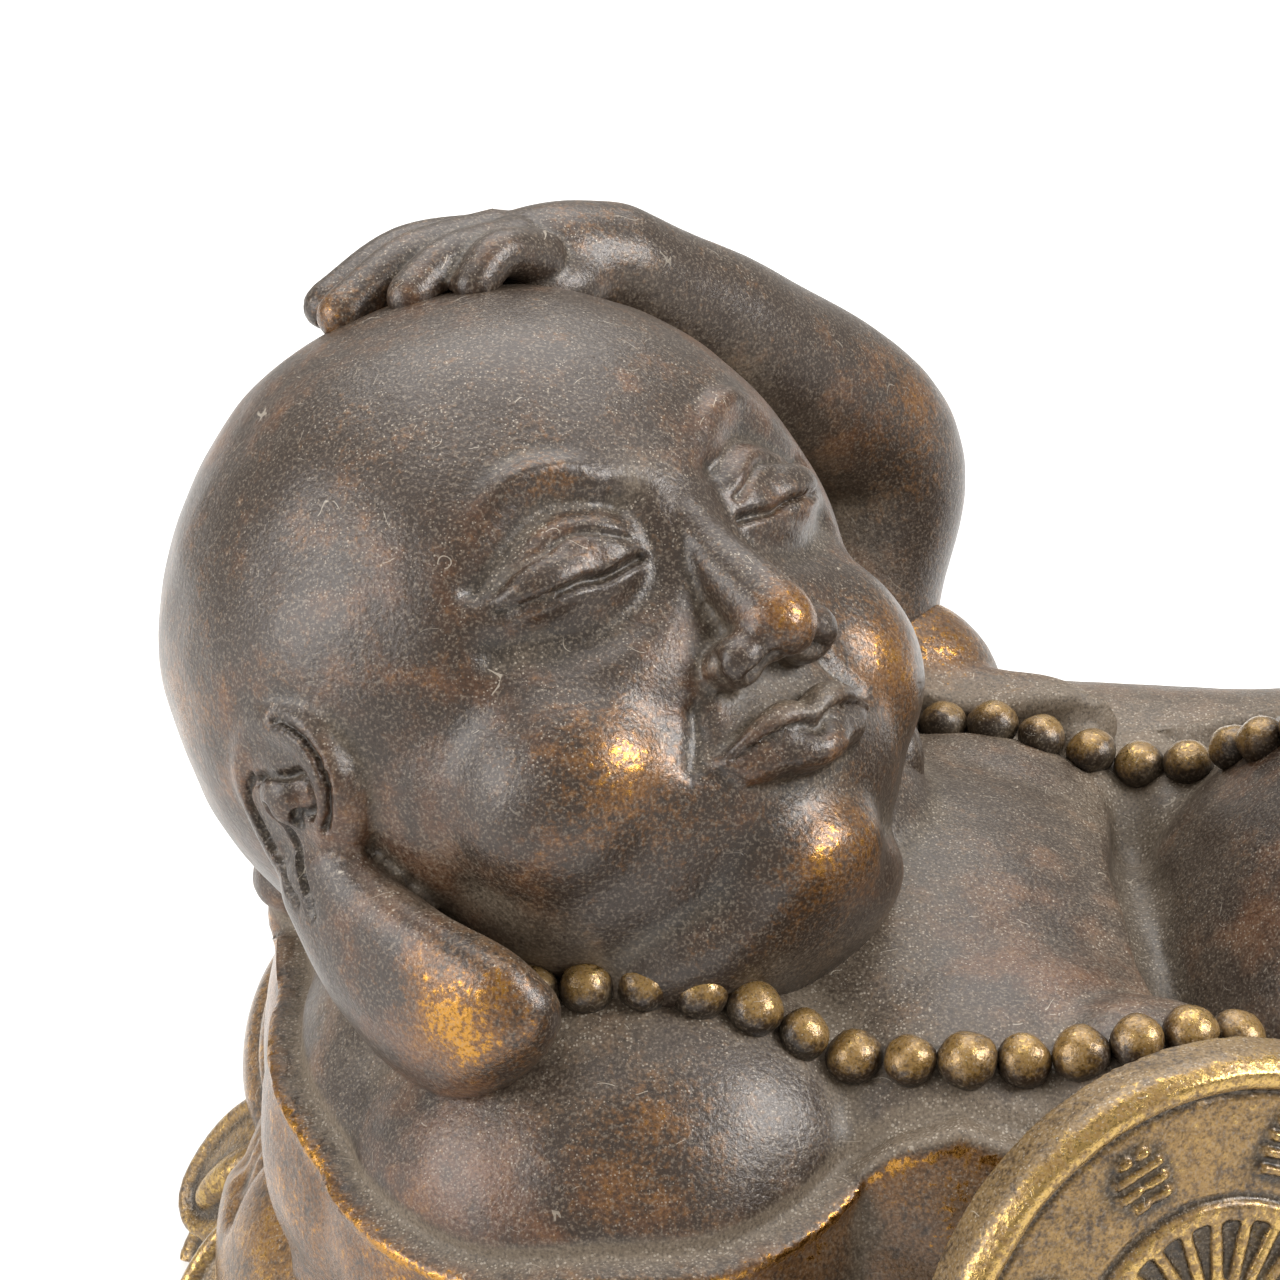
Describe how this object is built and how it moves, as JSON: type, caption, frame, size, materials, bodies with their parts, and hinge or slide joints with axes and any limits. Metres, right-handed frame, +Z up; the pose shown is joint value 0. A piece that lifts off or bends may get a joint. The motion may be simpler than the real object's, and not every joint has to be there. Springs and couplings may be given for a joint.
{
  "type": "reclining budai statue",
  "caption": "Cast bronze figure of a calm, stout monk who lies back with a hand on his head and a large coin at his side.",
  "frame": {"origin": "middle of the bounding box, on the flat underside", "axes": "+X towards the feet, along the statue's length; +Z up; -Y is the side that it shows, with the coin"},
  "size_m": [0.2654, 0.1422, 0.1241],
  "materials": {
    "dark_bronze": "dark brown patina with dust in the hollows and gold showing where it is rubbed"
  },
  "bodies": {
    "root": {"budai_statue": "dark_bronze"}
  },
  "joints": []
}
